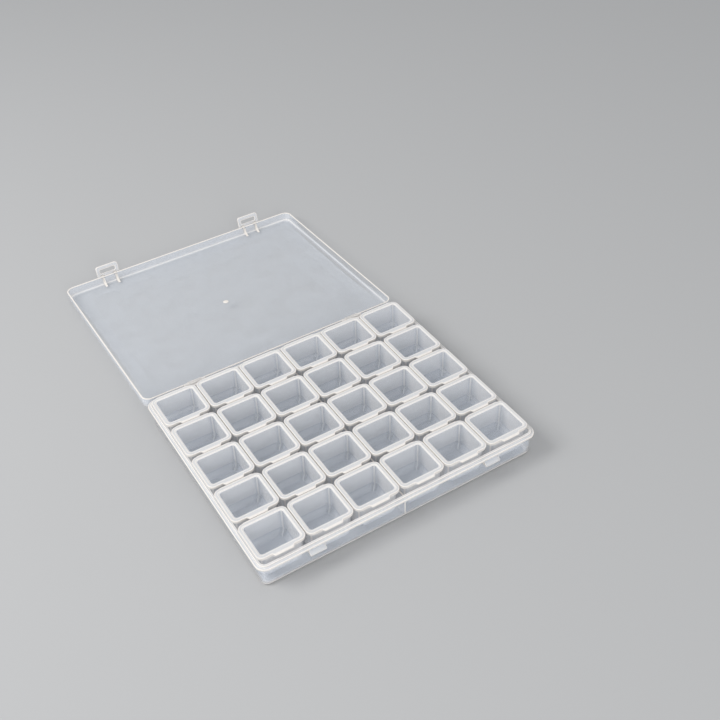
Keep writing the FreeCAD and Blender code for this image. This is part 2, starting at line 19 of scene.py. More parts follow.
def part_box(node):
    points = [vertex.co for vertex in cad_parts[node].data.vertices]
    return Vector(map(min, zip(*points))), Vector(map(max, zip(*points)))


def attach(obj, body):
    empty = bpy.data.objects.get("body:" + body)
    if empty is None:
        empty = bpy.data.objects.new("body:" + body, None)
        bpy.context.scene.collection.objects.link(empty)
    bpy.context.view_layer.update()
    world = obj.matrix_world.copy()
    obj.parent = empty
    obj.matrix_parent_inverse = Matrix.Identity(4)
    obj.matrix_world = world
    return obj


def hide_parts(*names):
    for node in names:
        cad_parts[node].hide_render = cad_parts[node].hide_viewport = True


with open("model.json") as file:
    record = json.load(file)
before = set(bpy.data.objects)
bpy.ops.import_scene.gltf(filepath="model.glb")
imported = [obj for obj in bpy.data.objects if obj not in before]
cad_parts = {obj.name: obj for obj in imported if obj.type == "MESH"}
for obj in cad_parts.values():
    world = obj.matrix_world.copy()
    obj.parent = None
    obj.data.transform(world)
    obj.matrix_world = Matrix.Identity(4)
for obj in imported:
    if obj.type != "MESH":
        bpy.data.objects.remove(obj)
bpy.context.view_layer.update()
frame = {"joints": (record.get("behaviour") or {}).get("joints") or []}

bl_info = {
    "name": "Compartment organizer",
    "version": (1, 0, 0),
    "blender": (4, 5, 0),
    "location": "View3D > Sidebar > Organizer",
    "description": "Dresses the packed organizer with moulded pieces, finishes and a studio stage",
    "category": "Object",
}

MM = 1000.0  # millimetres in a metre
COLUMNS = 6
ROWS = 5
SIDES = (-1, 1)


def node_box(node):
    """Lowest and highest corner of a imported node, in millimetres."""
    return tuple(np.array(corner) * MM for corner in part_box(node))


# Places and sizes from the frame
JOINTS = {joint["name"]: joint for joint in frame["joints"]}
HINGE = np.array(JOINTS["case_lid_hinge"]["pos_m"]) * MM
SHUT_TURN = math.radians(-JOINTS["case_lid_hinge"]["range_deg"][0])
LATCH_X = JOINTS["latch_right_hinge"]["pos_m"][0] * MM
TRAY_HIGH = node_box("tray")[1]
BOX_LOW, BOX_HIGH = node_box("box_r1_c1")
FLIP_LOW, FLIP_HIGH = node_box("flip_lid_r1_c1")
PITCH = (node_box("flip_lid_r2_c2")[0] - FLIP_LOW)[:2]
FLANGE_TOP = HINGE[2]
LIP_TOP = TRAY_HIGH[2]

# Shared by all mouldings, lengths in millimetres
QUARTERS = (0.25, 0.5, 0.75)  # stations along a straight side
MOST_ROUNDING_SHARE = 0.36  # most of a face that the rounding of one edge takes
MOST_FADE_SHARE = 0.46  # most of a face that the whiteness of one edge takes
WALL_DEPTH = 5.0  # rings this near to the widest one are walls
PAINTED_GLINT_POWER = 64  # narrows the painted glint line in an upright corner
CASE_STEPS = 10  # steps of the corner arcs of the tray and the case lid
NOTCH_STEP = 0.02  # how far the sides of a notch in the flange lean
SMALL_EDGE = 0.1  # edge rounding of knuckles, ears and ribs
FINE_EDGE = 0.05  # edge rounding of the lugs
SHARP_ANGLE = math.radians(40)

# Tray and hinge, in millimetres
HINGE_OUT = 0.9  # hinge line behind the flange's edge
PIN_R = 1.0
PIN_PLAY = 0.06
KNUCKLE_R = 1.9
KNUCKLE_HALF = 5.0
KNUCKLE_MOUTH = 1.5
KNUCKLE_WEB = 3.4  # height of the web between a knuckle and the lid
NOTCH_HALF = 5.3  # notch in the flange where a knuckle turns
NOTCH_DEEP = 1.4
LUG_WIDE = 3.0  # lugs that hold the ends of a pin
LUG_DROP = 0.01  # their top below the flange's
RIM_CORNER = 7.0
FLANGE_THICK = 1.4
FLANGE_REACH = 2.5
LIP_THICK = 1.7
TRAY_WALL = 1.1
TRAY_FLOOR = 1.2
FLOOR_INSET = 40.0  # from the tray's inner walls to the flat middle of its floor
FLOOR_CORNER = 3.0
PARTITION_HALF = 0.6
PARTITION_DROP = 1.2  # its top below the flange's
CATCH_HALF = 5.65
CATCH_REACH = 2.1
CATCH_TOP = 16.45
CATCH_LEDGE = 13.45
CATCH_NOSE = 0.85
CATCH_SINK = 0.1  # its face behind the flange's edge
HALF_X = TRAY_HIGH[0]
HALF_Y = HINGE[1] - HINGE_OUT
TRAY_RIM = np.array([HALF_X, HALF_Y])
TRAY_OUTSIDE = TRAY_RIM - FLANGE_REACH
TRAY_INSIDE = TRAY_OUTSIDE - TRAY_WALL
FLANGE_UNDER = FLANGE_TOP - FLANGE_THICK

# Case lid, in millimetres
LID_INSET = 0.4  # its walls inside the flange's edge
LID_SEAT = 0.03  # gap under the shut lid
LID_HIGH = 8.2
LID_WALL = 1.1
LID_TOP = 1.2
LID_OUTSIDE = TRAY_RIM - LID_INSET
LID_INSIDE = LID_OUTSIDE - LID_WALL
LID_CEILING = LID_HIGH - LID_TOP
HAZE_INSETS = (60, 30, 14, 6)  # rings on the panel, inside the walls
HAZE_CORNER = 2.0
LATCH_OUT = 1.3  # latch pivots in front of the lid
LATCH_UP = 1.8  # and above its edge
EAR_R = 1.8
EAR_HALF = 1.0
EAR_MOUTH = 1.3
RIB_HALF = 0.9
RIB_SPREAD = 5.6  # ribs and ears either side of a latch's middle
RIB_START = 1.5  # from the lid's edge to the start of a rib
RIB_EDGE = 0.7  # depth of a rib at its start
RIB_FOOT = 5.2  # depth of a rib at the lid's panel
RIB_CURL = 4  # power of the curve between them
GATE_R = 2.2
GATE_SHARES = (0.2, 0.6, 0.9, 1.0, 1.0)  # radii of the gate mark's rings
GATE_RISE = (0.34, 0.3, 0.2, 0.05, -0.05)  # how far they stand out of the panel
GATE_CORNER_SHARE = 0.99

# Latch loops, in millimetres
LOOP_PIN_R = 0.9
LOOP_HALF = 9.5
LOOP_LONG = 10.0
LOOP_THICK = 1.4
LOOP_CORNER = 2.0
LOOP_ROUNDING = 0.4
LOOP_GLOW = 0.2
SLOT_HALF = 6.5
SLOT_NEAR = 3.5
SLOT_FAR = 6.7
SLOT_CORNER = 0.9
EAR_NOTCH_HALF = 1.3
EAR_NOTCH_DEEP = 2.1
AXLE_INSET = 0.1  # its ends inside the loop's sides
AXLE_EDGE = 0.3
WEB_SINK = 0.03  # webs below the faces of the loop

# Boxes and flip lids, in millimetres
BOX_WALL = 0.9
BOX_FLOOR = 1.0
BOX_RIM = 1.2
BODY_TOP_INSET = np.array([1.08, 0.88])  # walls inside the rim, at their top
BODY_FOOT_INSET = np.array([1.5, 1.3])  # walls inside the rim, at their foot
FLOOR_BORDER = 12.0  # from a box's walls to the flat middle of its floor
WINDOW_BANDS = 4  # rim bands from a flip lid's edge to the flat middle of its window
TAB_REACH = 2.1
TAB_TIP_HALF = 6.25
TAB_ROOT_HALF = 7.5
BEAD_REACH = 0.55
BEAD_HALF = 12.0
BEAD_EASE = 0.5  # length in which an end of the bead runs out

# Milkiness along each section: flats are its faces in order, and edges the corners between them
BOX_FLATS = (0.2, 0.66, 0.65, 0.85, 0.75, 0.54, 0.2)
# The last box edge, the inner foot between wall and floor, is kept nearly clear as painted shade along that
# crease
BOX_EDGES = (0.42, 0.7, 0.95, 0.95, 0.95, 0.16)
FLIP_FLATS = (0.02, 0.4, 0.4, 0.8, 0.64, 0.8, 0.03)
FLIP_EDGES = (0.4, 0.6, 0.9, 0.95, 0.9, 0.8)
TRAY_FLATS = (0.12, 0.12, 0.5, 0.8, 0.55, 0.6, 0.6, 0.1, 0.12)
TRAY_EDGES = (0.8, 0.6, 1, 1, 0.7, 1, 1, 0.5)
LID_HAZE = (0.06, 0.08, 0.11, 0.16)
LID_FLATS = (*LID_HAZE, 0.22, 1, 0.22, *LID_HAZE[::-1])
LID_EDGES = (*LID_HAZE[1:], 0.7, 1, 1, 0.5, *LID_HAZE[:0:-1])
LOOP_FLATS = (0.75, 0.5, 0.75, 0.5)
LOOP_EDGES = (0.95, 0.95, 0.95, 0.95)
CATCH_MILK = (0.2, 0.2, 0.3, 0.5, 1, 0.4)
PARTITION_MILK = 1.0
PARTITION_SIDE_MILK = 0.45
HINGE_MILK = 0.8
EAR_MILK = 0.9
RIB_MILK = 1.0
AXLE_MILK = 0.6

# Roundings of the edges along each section, in millimetres, without those that a user sets
BOX_ROUNDINGS = (0.3, 0.25, 0.3, 0.3)
FLIP_ROUNDINGS = (0.2, 0.2, 0.3, 0.35, 0.25, 0.25)
TRAY_ROUNDINGS = (0.4, 0.3, 0.35, 0.3, 0.3, 0.3)
LID_ROUNDINGS = (0.8, 0.25, 0.25)
HAZE_ROUNDINGS = (0.1, 0.1, 0.1)

# Plastic
PLASTIC_IOR = 1.49
FLOW_SCALE = 55.0
SCUFF_SCALE = 700.0
NOISE_MIDDLE = 0.5
GLOSSIEST, DULLEST = 0.14, 0.36
RELIEF_STRENGTH = 0.04
RELIEF_HEIGHT = 0.0005


class OrganizerSizes(bpy.types.PropertyGroup):
    """Sizes of the moulded details."""

    rim_band: bpy.props.FloatProperty(
        name="Rim band", description="Width of the milky band round a flip lid's clear window",
        default=0.0023, min=0.001, max=0.005, unit="LENGTH")
    window_drop: bpy.props.FloatProperty(
        name="Window drop", description="How far a flip lid's window lies below its band",
        default=0.0004, min=0.0001, max=0.0005, unit="LENGTH")
    box_corner: bpy.props.FloatProperty(
        name="Rim corner", description="Corner radius of the box rims and flip lids",
        default=0.0043, min=0.003, max=0.006, unit="LENGTH")
    body_corner: bpy.props.FloatProperty(
        name="Box wall corner", description="Radius of the upright corners of a box's walls",
        default=0.0052, min=0.003, max=0.007, unit="LENGTH")
    body_foot: bpy.props.FloatProperty(
        name="Box foot rounding", description="Rounding between a box's walls and floor",
        default=0.004, min=0.001, max=0.005, unit="LENGTH")
    foot_round: bpy.props.FloatProperty(
        name="Foot rounding", description="Rounding at the foot of the tray and the top of the case lid",
        default=0.0022, min=0.0005, max=0.003, unit="LENGTH")
    edge_glow: bpy.props.FloatProperty(
        name="Edge glow", description="How far the whiteness of an edge fades into its faces",
        default=0.0004, min=0.0001, max=0.002, unit="LENGTH")


class OrganizerFinish(bpy.types.PropertyGroup):
    """Colours and opacities of the plastic, and the floor's colour."""

    clear_colour: bpy.props.FloatVectorProperty(
        name="Clear colour", description="Tint of the thin clear panels",
        default=(0.82, 0.89, 1.0), size=3, subtype="COLOR", min=0, max=1)
    milky_colour: bpy.props.FloatVectorProperty(
        name="Milky colour", description="Colour of thick edges",
        default=(0.83, 0.78, 0.725), size=3, subtype="COLOR", min=0, max=1)
    clear_opacity: bpy.props.FloatProperty(
        name="Clear opacity", description="Opacity of one face of a clear panel",
        default=0.05, min=0, max=1, subtype="FACTOR")
    milky_opacity: bpy.props.FloatProperty(
        name="Milky opacity", description="Opacity of one face of a thick edge",
        default=0.9, min=0, max=1, subtype="FACTOR")
    floor_colour: bpy.props.FloatVectorProperty(
        name="Floor colour", description="Colour of the studio floor",
        default=(0.44, 0.44, 0.442), size=3, subtype="COLOR", min=0, max=1)


def moulded_profile(corners, flats, edges, rounding, glow, closed=False, steps=4):
    """Section of a moulding with rounded, milky edges.

    Each corner point c becomes the curve (1-t)^2 a + 2t(1-t) c + t^2 b between points a and b at its
    rounding before and after it. The last column is the milkiness, which is that of the edge on the
    curve and fades to that of the flat face within the glow.
    """
    corners, flats, edges = (np.asarray(values, float) for values in (corners, flats, edges))
    if closed:
        before, here, after = np.roll(corners, 1, axis=0), corners, np.roll(corners, -1, axis=0)
        flat_before, flat_after = np.roll(flats, 1), flats
    else:
        before, here, after = corners[:-2], corners[1:-1], corners[2:]
        flat_before, flat_after = flats[:-1], flats[1:]
    rounding = np.broadcast_to(np.asarray(rounding, float), len(here))

    def toward(other, distance, most_share):
        """Points at a distance from the corner points on the way to others, or at a share of the way."""
        way = other - here
        length = np.linalg.norm(way[:, [0, 3]], axis=1)
        return here + way * np.minimum(distance / length, most_share)[:, None]

    start, end = (toward(other, rounding, MOST_ROUNDING_SHARE) for other in (before, after))
    fade_in, fade_out = (toward(other, rounding + glow, MOST_FADE_SHARE) for other in (before, after))
    t = np.linspace(0, 1, steps + 1)[:, None, None]
    curve = (1 - t) ** 2 * start + 2 * t * (1 - t) * here + t ** 2 * end
    rows = np.concatenate([fade_in[None], curve, fade_out[None]]).swapaxes(0, 1)
    on_edge = np.repeat(edges[:, None], steps + 1, axis=1)
    milk = np.concatenate([flat_before[:, None], on_edge, flat_after[:, None]], axis=1)
    profile = np.concatenate([rows, milk[:, :, None]], axis=2).reshape(-1, corners.shape[1] + 1)
    if closed:
        return profile
    first, last = np.append(corners[0], flats[0]), np.append(corners[-1], flats[-1])
    return np.concatenate([first[None], profile, last[None]])


def rounded_rings(profile, across, along, steps=8):
    """Closed rounded rectangles, one for each row of the profile: corner arcs c + r (cos a, sin a),
    joined by stations at given shares of each straight side, across for the front and back."""
    half_x, half_y, radius, height = profile[:, :4].T
    signs = np.array([[1, -1], [1, 1], [-1, 1], [-1, -1]])
    middle = signs * np.stack([half_x - radius, half_y - radius], -1)[:, None]
    angle = (np.arange(4)[:, None] - 1) * np.pi / 2 + np.linspace(0, np.pi / 2, steps + 1)
    circle = np.stack([np.cos(angle), np.sin(angle)], -1)
    arcs = middle[:, :, None] + radius[:, None, None, None] * circle
    leap = np.roll(arcs[:, :, 0], -1, axis=1) - arcs[:, :, -1]
    shares = [np.asarray(side, float)[None, :, None] for side in (along, across, along, across)]
    sides = [arcs[:, n, -1:] + leap[:, n, None] * share for n, share in enumerate(shares)]
    flat = np.concatenate([part for n in range(4) for part in (arcs[:, n], sides[n])], axis=1)
    return np.concatenate([flat, np.broadcast_to(height[:, None, None], flat.shape[:2] + (1,))], -1)


def ring_milk_and_painted_light(profile, across, along, painted_corner_light=0.0, painted_corner_glint=0.0, painted_side_light=0.0, steps=8):
    """Milkiness of every point of the rings, with painted light added on the walls: the profile's own m, and
    on the walls m + g (1 - m). The painted gain g is a corner number times sin(pi s)^2 plus a glint number
    times sin(pi s)^n along each corner arc, with a high power n, one number on the left and right sides,
    and 0 on the front and back. The corner number is a painted highlight where it is positive and painted
    shade where it is negative, the glint number paints a narrow glint line down the middle of the arc, and
    the side number is painted light or shade on the left and right walls."""
    bend = np.sin(np.linspace(0, np.pi, steps + 1))
    # painted highlight or painted shade on each corner arc, with a painted glint line down its middle
    arc = painted_corner_light * bend ** 2 + painted_corner_glint * bend ** PAINTED_GLINT_POWER
    # painted light or shade on the left and right walls, none on the front and back
    side, end = np.full(len(along), painted_side_light), np.zeros(len(across))
    painted_gain = np.concatenate([arc, side, arc, end] * 2)
    own, half = profile[:, 4:5], profile[:, 0:1]
    on_wall = half > half.max() - WALL_DEPTH
    return own + on_wall * painted_gain * (1 - own)


def skin(rings, milk, wrap=False):
    """Quads between neighbouring rings. The first and last ring are closed by one flat face each,
    or joined to each other where the section is a closed line."""
    count, around = rings.shape[:2]
    index = np.arange(count * around).reshape(count, around)
    lower = index if wrap else index[:-1]
    upper = np.roll(index, -1, axis=0) if wrap else index[1:]
    quads = np.stack([lower, np.roll(lower, -1, 1), np.roll(upper, -1, 1), upper], -1).reshape(-1, 4)
    ends = [] if wrap else [index[0][::-1], index[-1]]
    return rings.reshape(-1, 3), quads, ends, np.broadcast_to(milk, (count, around)).ravel()


def bar(outline, start, end, milk, edge=0.15, end_milk=1.0):
    """An outline in the YZ plane carried along X: p(x) = c + (outline - c) s(x), where s shrinks a
    little at the two ends to round their edges. The milkiness is one number or one for each point."""
    outline = np.asarray(outline, float)
    milk = np.broadcast_to(np.asarray(milk, float), len(outline))
    y, z = outline.T
    if np.sum(y * np.roll(z, -1) - z * np.roll(y, -1)) < 0:
        outline, milk = outline[::-1], milk[::-1]
    centre = outline.mean(axis=0)
    reach = np.abs(outline - centre).max()
    ease = np.array([1.0, 0.3, 0.0])
    size = 1 - np.concatenate([ease, ease[::-1]]) * edge / reach
    inward = edge * (1 - ease)
    x = np.concatenate([start + inward, (end - inward)[::-1]])
    ring = centre + (outline - centre) * size[:, None, None]
    rings = np.concatenate([np.broadcast_to(x[:, None, None], ring.shape[:2] + (1,)), ring], -1)
    shade = np.broadcast_to(milk, ring.shape[:2]).copy()
    shade[[0, 1, -2, -1]] = end_milk
    return skin(rings, shade)


def circle_outline(radius, count=24):
    """Points radius (cos a, sin a) once round."""
    angle = np.linspace(0, 2 * np.pi, count, endpoint=False)
    return radius * np.stack([np.cos(angle), np.sin(angle)], -1)


def snap_ring(inner, outer, mouth, direction, steps=28):
    """Outline of an open ring: an outer arc and an inner arc between the two lips of a mouth that
    faces a given direction."""
    half = math.asin(mouth / (inner + outer))
    angle = np.linspace(direction + half, direction + 2 * np.pi - half, steps)
    arc = np.stack([np.cos(angle), np.sin(angle)], -1)
    return np.concatenate([outer * arc, inner * arc[::-1]])


def block(low, high):
    """Outline of a rectangle between two corner points."""
    return np.array([low, (high[0], low[1]), high, (low[0], high[1])], float)


def side_stations(half, marks, width):
    """Shares of a straight side that fall on both edges of notches at given places along it."""
    near, far = np.array([-width, NOTCH_STEP - width]), np.array([width - NOTCH_STEP, width])
    edges = np.concatenate([mark + offsets for mark in marks for offsets in (near, far)])
    return (half + edges) / (2 * half)


def ramp(x, inner, outer):
    """1 within the inner half width, 0 beyond the outer one and straight between them."""
    return np.clip((outer - np.abs(x)) / (outer - inner), 0, 1)


def moved(piece, offset):
    """A skin at another place."""
    points, quads, ends, milk = piece
    return points + np.asarray(offset, float), quads, ends, milk


def laid_back(piece):
    """A skin of the shut lid turned about the hinge line to the laid-back pose."""
    points, quads, ends, milk = piece
    y, z = points[:, 1] - HINGE[1], points[:, 2] - HINGE[2]
    c, s = math.cos(SHUT_TURN), -math.sin(SHUT_TURN)
    turned = np.stack([points[:, 0], HINGE[1] + y * c - z * s, HINGE[2] + y * s + z * c], -1)
    return turned, quads, ends, milk


def make_piece(name, skins, material, body):
    """One mesh from several skins, smooth except at real edges, that stands for a body's node."""
    starts = np.cumsum([0] + [len(points) for points, *_ in skins[:-1]])
    points = np.concatenate([part[0] for part in skins]) / MM
    faces = np.concatenate([part[1] + start for part, start in zip(skins, starts)]).tolist()
    faces += [(end + start).tolist() for part, start in zip(skins, starts) for end in part[2]]
    mesh = bpy.data.meshes.new(name)
    mesh.from_pydata(points.tolist(), [], faces)
    # The milk attribute also carries the painted highlights, painted shade and painted glints added on the
    # walls
    milk = mesh.attributes.new("milk", "FLOAT", "POINT")
    milk.data.foreach_set("value", np.concatenate([part[3] for part in skins]).astype(np.float32))
    mesh.polygons.foreach_set("use_smooth", np.ones(len(mesh.polygons), bool))
    mesh.set_sharp_from_angle(angle=SHARP_ANGLE)
    mesh.materials.append(material)
    piece = bpy.data.objects.new(name, mesh)
    bpy.context.scene.collection.objects.link(piece)
    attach(piece, body)
    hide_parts(body)
    return piece


def new_node(tree, kind, place, **settings):
    """A shader node at a place in its tree, with its settings."""
    node = tree.nodes.new(kind)
    node.location = place
    for name, setting in settings.items():
        setattr(node, name, setting)
    return node


def plastic_group():
    """Shared look of the moulded plastic: milky where thick, clear where thin, with flow marks that
    thicken and thin the milkiness and fine scuffs in the gloss. The Milk input also carries painted
    light: painted highlights, painted shade and painted glints added on the walls."""
    name = "moulded plastic"
    if name in bpy.data.node_groups:
        return bpy.data.node_groups[name]
    tree = bpy.data.node_groups.new(name, "ShaderNodeTree")
    for label, kind in (("Milk", "Float"), ("Flow", "Float"), ("Clear Colour", "Color"),
                        ("Milky Colour", "Color"), ("Clear Opacity", "Float"), ("Milky Opacity", "Float")):
        tree.interface.new_socket(label, in_out="INPUT", socket_type=f"NodeSocket{kind}")
    for label, kind in (("Colour", "Color"), ("Alpha", "Float"), ("Roughness", "Float"), ("Height", "Float")):
        tree.interface.new_socket(label, in_out="OUTPUT", socket_type=f"NodeSocket{kind}")
    given = new_node(tree, "NodeGroupInput", (-900, 0))
    result = new_node(tree, "NodeGroupOutput", (700, 0))
    place = new_node(tree, "ShaderNodeTexCoord", (-900, -300))
    flow = new_node(tree, "ShaderNodeTexNoise", (-650, -200))
    flow.inputs["Scale"].default_value = FLOW_SCALE
    flow.inputs["Detail"].default_value = 4.0
    flow.inputs["Distortion"].default_value = 0.6
    scuff = new_node(tree, "ShaderNodeTexNoise", (-650, -450))
    scuff.inputs["Scale"].default_value = SCUFF_SCALE
    scuff.inputs["Detail"].default_value = 3.0
    centred = new_node(tree, "ShaderNodeMath", (-430, -200), operation="SUBTRACT")
    centred.inputs[1].default_value = NOISE_MIDDLE
    swing = new_node(tree, "ShaderNodeMath", (-250, -200), operation="MULTIPLY")
    mask = new_node(tree, "ShaderNodeMath", (-70, 0), operation="ADD", use_clamp=True)
    colour = new_node(tree, "ShaderNodeMix", (150, 150), data_type="RGBA")
    opacity = new_node(tree, "ShaderNodeMapRange", (150, -50))
    gloss = new_node(tree, "ShaderNodeMapRange", (150, -300))
    gloss.inputs["To Min"].default_value = GLOSSIEST
    gloss.inputs["To Max"].default_value = DULLEST
    for source, target in (
            (place.outputs["Object"], flow.inputs["Vector"]),
            (place.outputs["Object"], scuff.inputs["Vector"]),
            (flow.outputs["Fac"], centred.inputs[0]),
            (centred.outputs[0], swing.inputs[0]),
            (given.outputs["Flow"], swing.inputs[1]),
            (given.outputs["Milk"], mask.inputs[0]),
            (swing.outputs[0], mask.inputs[1]),
            (mask.outputs[0], colour.inputs["Factor"]),
            (given.outputs["Clear Colour"], colour.inputs["A"]),
            (given.outputs["Milky Colour"], colour.inputs["B"]),
            (mask.outputs[0], opacity.inputs["Value"]),
            (given.outputs["Clear Opacity"], opacity.inputs["To Min"]),
            (given.outputs["Milky Opacity"], opacity.inputs["To Max"]),
            (scuff.outputs["Fac"], gloss.inputs["Value"]),
            (colour.outputs["Result"], result.inputs["Colour"]),
            (opacity.outputs["Result"], result.inputs["Alpha"]),
            (gloss.outputs["Result"], result.inputs["Roughness"]),
            (flow.outputs["Fac"], result.inputs["Height"])):
        tree.links.new(source, target)
    return tree


def plastic(name, flow):
    """A finish of the shared plastic with its own strength of flow marks."""
    if name in bpy.data.materials:
        return bpy.data.materials[name]
    finish = bpy.context.scene.organizer_finish
    material = bpy.data.materials.new(name)
    material.use_nodes = True
    tree = material.node_tree
    shader = tree.nodes["Principled BSDF"]
    shader.inputs["IOR"].default_value = PLASTIC_IOR
    milk = new_node(tree, "ShaderNodeAttribute", (-700, 100), attribute_name="milk")
    look = new_node(tree, "ShaderNodeGroup", (-450, 100), node_tree=plastic_group())
    look.inputs["Flow"].default_value = flow
    look.inputs["Clear Colour"].default_value = (*finish.clear_colour, 1)
    look.inputs["Milky Colour"].default_value = (*finish.milky_colour, 1)
    look.inputs["Clear Opacity"].default_value = finish.clear_opacity
    look.inputs["Milky Opacity"].default_value = finish.milky_opacity
    relief = new_node(tree, "ShaderNodeBump", (-220, -150))
    relief.inputs["Strength"].default_value = RELIEF_STRENGTH
    relief.inputs["Distance"].default_value = RELIEF_HEIGHT
    for source, target in (
            (milk.outputs["Fac"], look.inputs["Milk"]),
            (look.outputs["Colour"], shader.inputs["Base Color"]),
            (look.outputs["Alpha"], shader.inputs["Alpha"]),
            (look.outputs["Roughness"], shader.inputs["Roughness"]),
            (look.outputs["Height"], relief.inputs["Height"]),
            (relief.outputs["Normal"], shader.inputs["Normal"])):
        tree.links.new(source, target)
    return material


def tray_shell(sizes):
    """The tray's section runs from the middle of its underside up the outer wall, round the flange and
    the lip and down the inner wall to the inside floor. In the notches for the knuckles, y is at most
    that of the notch's bottom."""
    foot, glow = sizes.foot_round * MM, sizes.edge_glow * MM
    rim, wall, inner = TRAY_RIM, TRAY_OUTSIDE, TRAY_INSIDE
    lip, middle = inner + LIP_THICK, inner - FLOOR_INSET
    wall_corner = RIM_CORNER - FLANGE_REACH
    lip_corner, inner_corner = (RIM_CORNER - rim[0] + half[0] for half in (lip, inner))
    corners = [(*middle, FLOOR_CORNER, 0), (*wall, wall_corner, 0), (*wall, wall_corner, FLANGE_UNDER),
               (*rim, RIM_CORNER, FLANGE_UNDER), (*rim, RIM_CORNER, FLANGE_TOP),
               (*lip, lip_corner, FLANGE_TOP), (*lip, lip_corner, LIP_TOP), (*inner, inner_corner, LIP_TOP),
               (*inner, inner_corner, TRAY_FLOOR), (*middle, FLOOR_CORNER, TRAY_FLOOR)]
    profile = moulded_profile(corners, TRAY_FLATS, TRAY_EDGES, (foot, *TRAY_ROUNDINGS, foot / 2), glow)
    across = side_stations(HALF_X - RIM_CORNER, (-LATCH_X, LATCH_X), NOTCH_HALF)
    rings = rounded_rings(profile, across, QUARTERS, steps=CASE_STEPS)
    x, y = rings[:, :, 0], rings[:, :, 1]
    in_notch = np.abs(np.abs(x) - LATCH_X) < NOTCH_HALF - NOTCH_STEP / 2
    rings[:, :, 1] = np.where(in_notch, np.minimum(y, HALF_Y - NOTCH_DEEP), y)
    # Painted highlight: the corner arcs of the tray's walls are made milkier, so lighter
    return skin(rings, ring_milk_and_painted_light(profile, across, QUARTERS, painted_corner_light=0.2, steps=CASE_STEPS))


def tray_fittings():
    """The partition from front to back, the catches in front, and the hinge pins between lugs behind,
    each an outline carried along X."""
    half = TRAY_INSIDE[1] + TRAY_WALL / 2
    partition = block((-half, TRAY_FLOOR / 2), (half, FLANGE_TOP - PARTITION_DROP))
    parts = [bar(partition, -PARTITION_HALF, PARTITION_HALF, PARTITION_MILK, end_milk=PARTITION_SIDE_MILK)]
    root, face, tip = TRAY_WALL / 2 - TRAY_OUTSIDE[1], CATCH_SINK - HALF_Y, -HALF_Y - CATCH_REACH
    in_flange, nose = FLANGE_UNDER + FLANGE_THICK / 2, CATCH_LEDGE + CATCH_NOSE
    catch = [(root, in_flange), (face, in_flange), (face, CATCH_TOP), (tip, nose), (tip, CATCH_LEDGE),
             (root, CATCH_LEDGE)]
    lug = block((HALF_Y - PIN_R, FLANGE_TOP - PIN_R), (HINGE[1], FLANGE_TOP - LUG_DROP))
    pin = HINGE[1:] + circle_outline(PIN_R)
    reach = NOTCH_HALF + LUG_WIDE
    for side in SIDES:
        place = side * LATCH_X
        parts.append(bar(catch, place - CATCH_HALF, place + CATCH_HALF, CATCH_MILK))
        parts.append(bar(pin, place - reach, place + reach, HINGE_MILK))
        parts.append(bar(lug, place - reach, place - NOTCH_HALF, HINGE_MILK, edge=FINE_EDGE))
        parts.append(bar(lug, place + NOTCH_HALF, place + reach, HINGE_MILK, edge=FINE_EDGE))
    return parts


def lid_shell(sizes):
    """The shut case lid's section runs from the middle of its ceiling down the inner wall, round the
    edge and up the outer wall to the middle of its top. Rings on the panel let its haze fade inwards."""
    glow, top_rounding = sizes.edge_glow * MM, sizes.foot_round * MM
    outer, inner = LID_OUTSIDE, LID_INSIDE
    corner = RIM_CORNER - LID_INSET
    inner_corner = corner - LID_WALL
    inside = [(*inner - inset, max(inner_corner - inset, HAZE_CORNER), LID_CEILING) for inset in HAZE_INSETS]
    outside = [(*outer - inset, max(corner - inset, HAZE_CORNER), LID_HIGH) for inset in HAZE_INSETS[::-1]]
    walls = [(*inner, inner_corner, LID_CEILING), (*inner, inner_corner, LID_SEAT),
             (*outer, corner, LID_SEAT), (*outer, corner, LID_HIGH)]
    rounding = (*HAZE_ROUNDINGS, *LID_ROUNDINGS, top_rounding, *HAZE_ROUNDINGS)
    profile = moulded_profile(inside + walls + outside, LID_FLATS, LID_EDGES, rounding, glow, steps=5)
    rings = rounded_rings(profile, QUARTERS, QUARTERS, steps=CASE_STEPS)
    # Painted highlight on the corner arcs and painted shade on the left and right walls
    milk = ring_milk_and_painted_light(profile, QUARTERS, QUARTERS, painted_corner_light=0.2, painted_side_light=-0.6, steps=CASE_STEPS)
    return moved(skin(rings, milk), (0, 0, FLANGE_TOP))


def rib_outline():
    """Outline of a rib inside the shut lid's front wall. Its depth is edge + (foot - edge) s^n, where s
    goes from 0 at the rib's start to 1 at the panel."""
    climb = np.linspace(0, 1, 16)
    face, start = -LID_INSIDE[1], FLANGE_TOP + RIB_START
    curve = np.stack([face + RIB_EDGE + (RIB_FOOT - RIB_EDGE) * climb ** RIB_CURL,
                      start + (LID_CEILING - RIB_START) * climb], -1)
    behind = face - LID_WALL / 2
    return np.concatenate([[(behind, start)], curve, [(behind, FLANGE_TOP + LID_CEILING)]])


